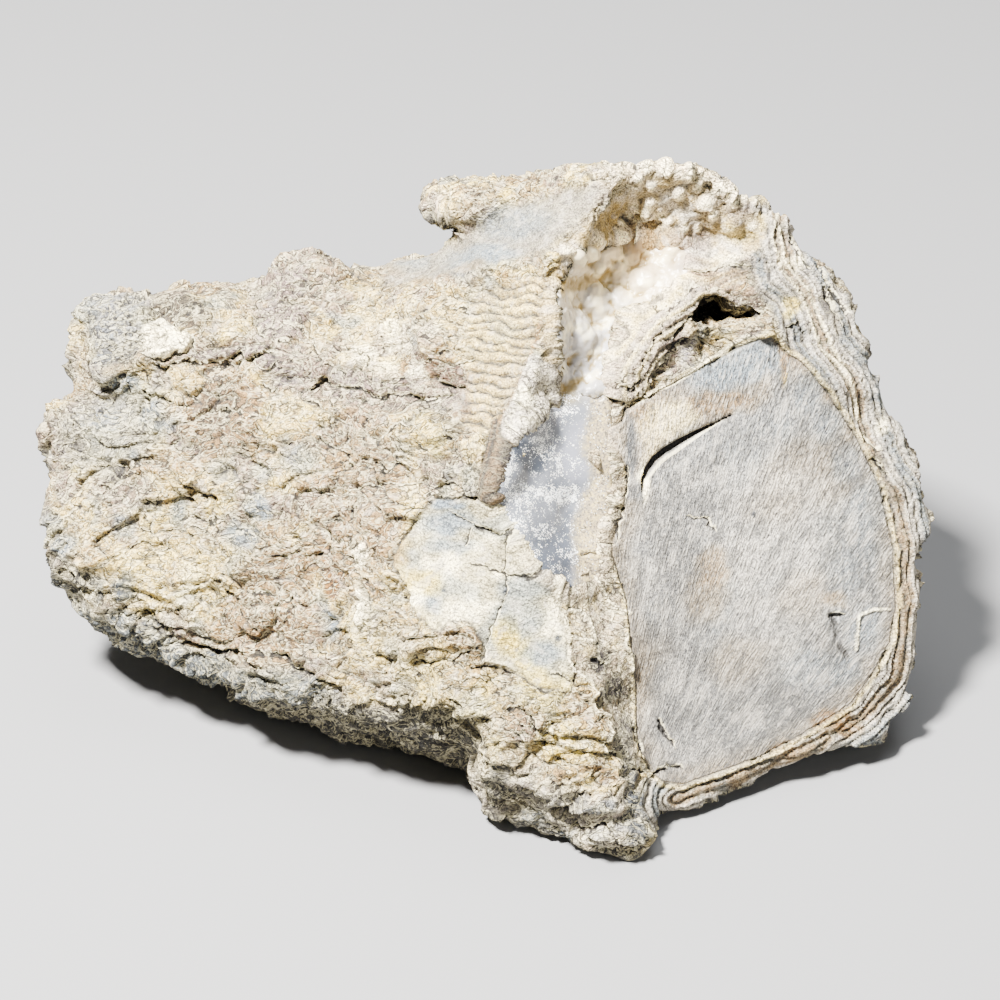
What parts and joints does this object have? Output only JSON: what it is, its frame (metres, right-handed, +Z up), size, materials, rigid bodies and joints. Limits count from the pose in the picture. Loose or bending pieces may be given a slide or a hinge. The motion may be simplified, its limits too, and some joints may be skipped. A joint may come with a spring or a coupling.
{
  "type": "petrified wood specimen",
  "caption": "Chunk of petrified wood: a grey silicified limb end with layered bark, set in a lumpy pale mineral rind that arches over a hollow lined with milky chalcedony.",
  "frame": {"origin": "on the ground under the middle of the specimen's bounding box", "axes": "+X to the right along the specimen, seen from its broken limb end, which faces -Y, right and up; +Z up"},
  "size_m": [0.1356, 0.0946, 0.0819],
  "materials": {
    "petrified_wood": "rough matte, pale cream and tan rind, grey end grain",
    "chalcedony": "waxy, milky white to blue-grey"
  },
  "bodies": {
    "root": {"petrified_wood": "petrified_wood", "chalcedony_crust": "chalcedony"}
  },
  "joints": []
}
